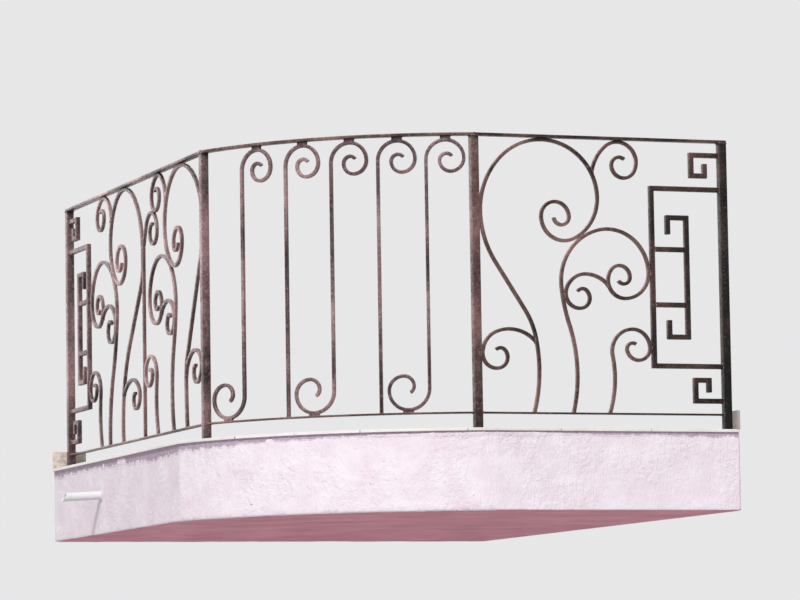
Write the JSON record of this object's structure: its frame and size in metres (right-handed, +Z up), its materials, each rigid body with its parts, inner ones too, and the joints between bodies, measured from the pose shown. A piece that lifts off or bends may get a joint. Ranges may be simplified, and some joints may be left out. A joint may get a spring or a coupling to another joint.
{
  "type": "corner balcony with a wrought iron railing",
  "caption": "Corner balcony: stucco slab with stone tiles and a wrought iron railing of scrolls and keys, bowed at the corner.",
  "frame": {"origin": "centre of the slab's back face, which is built against the house wall", "axes": "+Z up, +Y into the house wall, +X to the right along it, towards the side wall"},
  "size_m": [1.9111, 2.461, 1.28],
  "materials": {
    "iron": "aged, dark brown with a rose patina",
    "stucco": "matt painted stucco",
    "floor_stone": "honed pale stone",
    "skirting_stone": "honed, mottled beige",
    "spout_plastic": "weathered white"
  },
  "bodies": {
    "root": {"slab": "stucco", "floor_tiles": "floor_stone", "skirting_tiles": "skirting_stone", "drain_spout": "spout_plastic", "post_wall_left": "iron", "post_corner": "iron", "post_front": "iron", "post_wall_right": "iron", "top_rail_left": "iron", "top_rail_bow": "iron", "top_rail_right": "iron", "low_rail_left": "iron", "low_rail_bow": "iron", "low_rail_right": "iron", "bow_bar_1": "iron", "bow_bar_2": "iron", "bow_bar_3": "iron", "bow_bar_4": "iron", "bow_bar_5": "iron", "great_scroll_right": "iron", "middle_scroll_right": "iron", "small_scroll_right": "iron", "top_branch_right": "iron", "low_branch_right": "iron", "middle_branch_right": "iron", "great_scroll_left_front": "iron", "middle_scroll_left_front": "iron", "small_scroll_left_front": "iron", "top_branch_left_front": "iron", "low_branch_left_front": "iron", "middle_branch_left_front": "iron", "great_scroll_left_back": "iron", "middle_scroll_left_back": "iron", "small_scroll_left_back": "iron", "top_branch_left_back": "iron", "low_branch_left_back": "iron", "middle_branch_left_back": "iron", "link_scroll_left_front": "iron", "plain_bar": "iron", "key_bracket_left": "iron", "key_core_left": "iron", "key_hooks_left": "iron", "key_bracket_right": "iron", "key_core_right": "iron", "key_hooks_right": "iron"}
  },
  "joints": []
}
